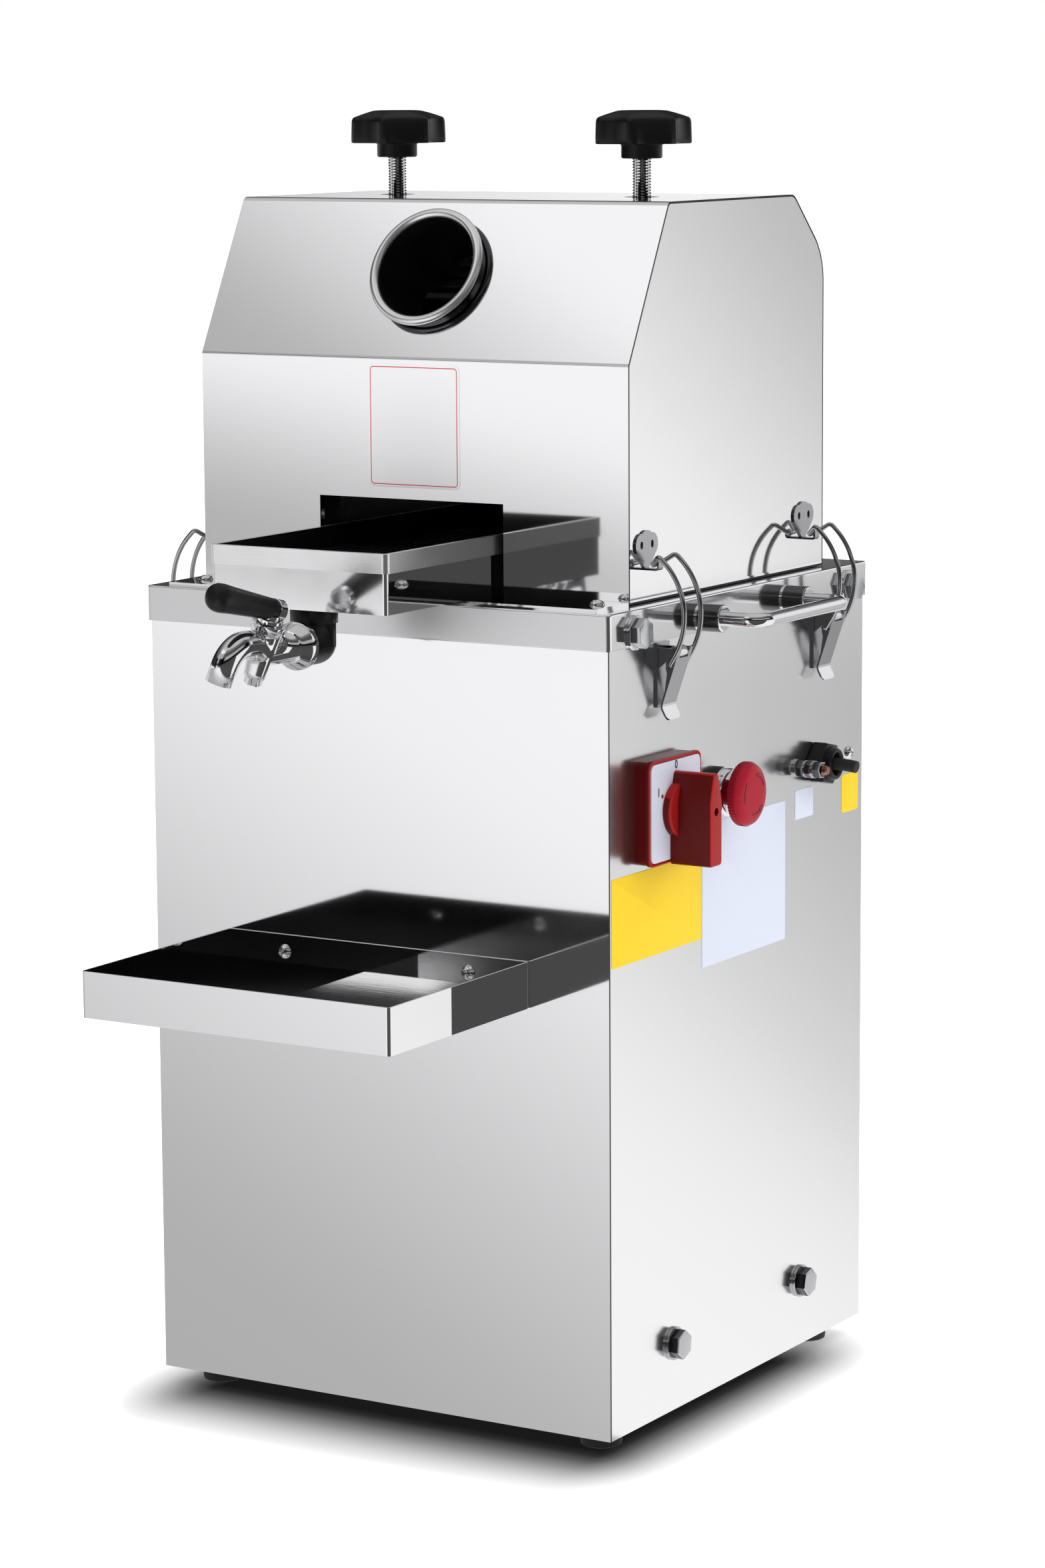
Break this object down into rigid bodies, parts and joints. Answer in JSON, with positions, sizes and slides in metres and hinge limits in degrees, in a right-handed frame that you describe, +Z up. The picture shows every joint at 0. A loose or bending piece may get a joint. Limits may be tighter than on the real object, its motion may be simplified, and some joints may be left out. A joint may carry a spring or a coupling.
{
  "type": "sugarcane juicer",
  "caption": "Motor-driven sugarcane press: polished square cabinet, lift-off hood over three geared rollers, juice tray with tap, cup tray, knobs, latches and side controls.",
  "frame": {"origin": "centre of the cabinet's footprint on the floor, under the rubber feet", "axes": "+X to the controls' side, +Y to the back, +Z up; the juice tray and tap face -Y"},
  "size_m": [0.4252, 0.5068, 0.8072],
  "materials": {
    "stainless_sheet": "mirror polished",
    "stainless_bright": "polished",
    "zinc_steel": "zinc plated",
    "frame_steel": "plain",
    "roller_steel": "turned and fluted",
    "gear_steel": "oiled",
    "bronze": "machined",
    "earth_brass": "plain",
    "gearbox_paint": "painted",
    "motor_paint": "painted",
    "rubber": "matt",
    "black_plastic": "moulded",
    "switch_red": "satin",
    "stop_red": "glossy",
    "contact_grey": "moulded",
    "cable_black": "smooth"
  },
  "bodies": {
    "cabinet": {"chassis": "frame_steel", "front_panel": "stainless_sheet", "left_panel": "stainless_sheet", "right_panel": "stainless_sheet", "rear_cover": "stainless_sheet", "top_deck": "stainless_sheet", "rubber_feet": "rubber", "fasteners": "stainless_bright", "side_handles": "stainless_bright", "cup_tray": "stainless_sheet", "switch_frame": "switch_red", "switch_contacts": "contact_grey", "stop_bezel": "stainless_bright", "earth_stud": "earth_brass", "cable_gland": "black_plastic", "supply_cable": "cable_black", "latch_bases": "zinc_steel", "hood_strip": "stainless_sheet", "head_sides": "frame_steel", "head_bars": "zinc_steel", "roller_bushes": "bronze", "turner_plate": "stainless_bright", "gearbox": "gearbox_paint", "motor": "motor_paint"},
    "carriage": {"bearing_blocks": "bronze", "screw_pad_left": "frame_steel", "screw_pad_right": "frame_steel"},
    "top_roller_set": {"top_roller": "roller_steel", "top_gear": "gear_steel"},
    "front_roller_set": {"front_roller": "roller_steel", "front_gear": "gear_steel"},
    "rear_roller_set": {"rear_roller": "roller_steel", "rear_gears": "gear_steel"},
    "idler": {"idler_gear": "gear_steel"},
    "output": {"output_shaft": "gear_steel"},
    "hood": {"hood_front": "stainless_sheet", "hood_slope": "stainless_sheet", "hood_top": "stainless_sheet", "hood_back": "stainless_sheet", "hood_sides": "stainless_sheet", "feed_tube": "stainless_bright", "bagasse_chute": "stainless_sheet", "latch_keepers": "zinc_steel"},
    "screw_left": {"pressure_screw_left": "zinc_steel"},
    "knob_left": {"star_knob_left": "black_plastic"},
    "screw_right": {"pressure_screw_right": "zinc_steel"},
    "knob_right": {"star_knob_right": "black_plastic"},
    "tray": {"juice_tray": "stainless_sheet", "outlet_elbow": "black_plastic", "tap_body": "stainless_bright"},
    "strainer_lift_out": {"strainer": "stainless_sheet"},
    "tap_handle": {"tap_lever": "black_plastic"},
    "switch_dial": {"switch_handle": "switch_red"},
    "stop_stem": {"stop_plunger": "stop_red"},
    "stop_head": {"stop_button": "stop_red"},
    "lever_left_front": {"latch_lever_left_front": "zinc_steel"},
    "bail_left_front": {"latch_bail_left_front": "zinc_steel"},
    "lever_left_rear": {"latch_lever_left_rear": "zinc_steel"},
    "bail_left_rear": {"latch_bail_left_rear": "zinc_steel"},
    "lever_right_front": {"latch_lever_right_front": "zinc_steel"},
    "bail_right_front": {"latch_bail_right_front": "zinc_steel"},
    "lever_right_rear": {"latch_lever_right_rear": "zinc_steel"},
    "bail_right_rear": {"latch_bail_right_rear": "zinc_steel"}
  },
  "joints": [
    {"name": "gap_adjust", "type": "slide", "parent": "cabinet", "child": "carriage", "axis": [0, 0, 1], "range_m": [0, 0.002]},
    {"name": "rear_roller_spin", "type": "hinge", "parent": "cabinet", "child": "rear_roller_set", "pos_m": [0, 0.048, 0.63013], "axis": [1, 0, 0], "continuous": true},
    {"name": "top_roller_spin", "type": "hinge", "parent": "carriage", "child": "top_roller_set", "pos_m": [0, 0.008, 0.69], "axis": [1, 0, 0], "continuous": true},
    {"name": "front_roller_spin", "type": "hinge", "parent": "cabinet", "child": "front_roller_set", "pos_m": [0, -0.032, 0.63013], "axis": [1, 0, 0], "continuous": true},
    {"name": "idler_spin", "type": "hinge", "parent": "cabinet", "child": "idler", "pos_m": [0.114, 0.048, 0.54013], "axis": [1, 0, 0], "continuous": true},
    {"name": "output_spin", "type": "hinge", "parent": "cabinet", "child": "output", "pos_m": [0.06, 0.048, 0.45013], "axis": [1, 0, 0], "continuous": true},
    {"name": "hood_lift", "type": "slide", "parent": "cabinet", "child": "hood", "axis": [0, 0, 1], "range_m": [0, 0.25]},
    {"name": "screw_left_lift", "type": "slide", "parent": "hood", "child": "screw_left", "axis": [0, 0, 1], "range_m": [0, 0.002]},
    {"name": "knob_left_turn", "type": "hinge", "parent": "screw_left", "child": "knob_left", "pos_m": [-0.09, 0.008, 0.79], "axis": [0, 0, 1], "range_deg": [0, 413]},
    {"name": "screw_right_lift", "type": "slide", "parent": "hood", "child": "screw_right", "axis": [0, 0, 1], "range_m": [0, 0.002]},
    {"name": "knob_right_turn", "type": "hinge", "parent": "screw_right", "child": "knob_right", "pos_m": [0.09, 0.008, 0.79], "axis": [0, 0, 1], "range_deg": [0, 413]},
    {"name": "tray_slide", "type": "slide", "parent": "cabinet", "child": "tray", "axis": [0, -1, 0], "range_m": [0, 0.2]},
    {"name": "strainer_lift", "type": "slide", "parent": "tray", "child": "strainer_lift_out", "axis": [0, 0, 1], "range_m": [0, 0.018]},
    {"name": "tap_turn", "type": "hinge", "parent": "tray", "child": "tap_handle", "pos_m": [0, -0.2845, 0.497], "axis": [0.3256, 0, 0.9455], "range_deg": [0, 90]},
    {"name": "switch_turn", "type": "hinge", "parent": "cabinet", "child": "switch_dial", "pos_m": [0.17, -0.102, 0.3925], "axis": [1, 0, 0], "range_deg": [-60, 60]},
    {"name": "stop_push", "type": "slide", "parent": "cabinet", "child": "stop_stem", "axis": [-1, 0, 0], "range_m": [0, 0.004]},
    {"name": "stop_twist", "type": "hinge", "parent": "stop_stem", "child": "stop_head", "pos_m": [0.18, -0.033, 0.3925], "axis": [1, 0, 0], "range_deg": [0, 45]},
    {"name": "latch_left_front_lever", "type": "hinge", "parent": "cabinet", "child": "lever_left_front", "pos_m": [-0.177, -0.101, 0.488], "axis": [0, 1, 0], "range_deg": [0, 95]},
    {"name": "latch_left_front_bail", "type": "hinge", "parent": "lever_left_front", "child": "bail_left_front", "pos_m": [-0.1758, -0.101, 0.4802], "axis": [0, 1, 0], "range_deg": [-84, 0]},
    {"name": "latch_left_rear_lever", "type": "hinge", "parent": "cabinet", "child": "lever_left_rear", "pos_m": [-0.177, 0.101, 0.488], "axis": [0, 1, 0], "range_deg": [0, 95]},
    {"name": "latch_left_rear_bail", "type": "hinge", "parent": "lever_left_rear", "child": "bail_left_rear", "pos_m": [-0.1758, 0.101, 0.4802], "axis": [0, 1, 0], "range_deg": [-84, 0]},
    {"name": "latch_right_front_lever", "type": "hinge", "parent": "cabinet", "child": "lever_right_front", "pos_m": [0.177, -0.101, 0.488], "axis": [0, -1, 0], "range_deg": [0, 95]},
    {"name": "latch_right_front_bail", "type": "hinge", "parent": "lever_right_front", "child": "bail_right_front", "pos_m": [0.1758, -0.101, 0.4802], "axis": [0, -1, 0], "range_deg": [-84, 0]},
    {"name": "latch_right_rear_lever", "type": "hinge", "parent": "cabinet", "child": "lever_right_rear", "pos_m": [0.177, 0.101, 0.488], "axis": [0, -1, 0], "range_deg": [0, 95]},
    {"name": "latch_right_rear_bail", "type": "hinge", "parent": "lever_right_rear", "child": "bail_right_rear", "pos_m": [0.1758, 0.101, 0.4802], "axis": [0, -1, 0], "range_deg": [-84, 0]}
  ],
  "couplings": [
    {"joint": "top_roller_spin", "follows": "rear_roller_spin", "ratio": -1},
    {"joint": "front_roller_spin", "follows": "rear_roller_spin", "ratio": 1},
    {"joint": "idler_spin", "follows": "rear_roller_spin", "ratio": -1.1429},
    {"joint": "output_spin", "follows": "rear_roller_spin", "ratio": 1},
    {"joint": "screw_left_lift", "follows": "gap_adjust", "ratio": 1},
    {"joint": "knob_left_turn", "follows": "gap_adjust", "rad_per_m": 3590.4},
    {"joint": "screw_right_lift", "follows": "gap_adjust", "ratio": 1},
    {"joint": "knob_right_turn", "follows": "gap_adjust", "rad_per_m": 3590.4},
    {"joint": "latch_left_front_bail", "follows": "latch_left_front_lever", "ratio": -0.88},
    {"joint": "latch_left_rear_bail", "follows": "latch_left_rear_lever", "ratio": -0.88},
    {"joint": "latch_right_front_bail", "follows": "latch_right_front_lever", "ratio": -0.88},
    {"joint": "latch_right_rear_bail", "follows": "latch_right_rear_lever", "ratio": -0.88}
  ]
}
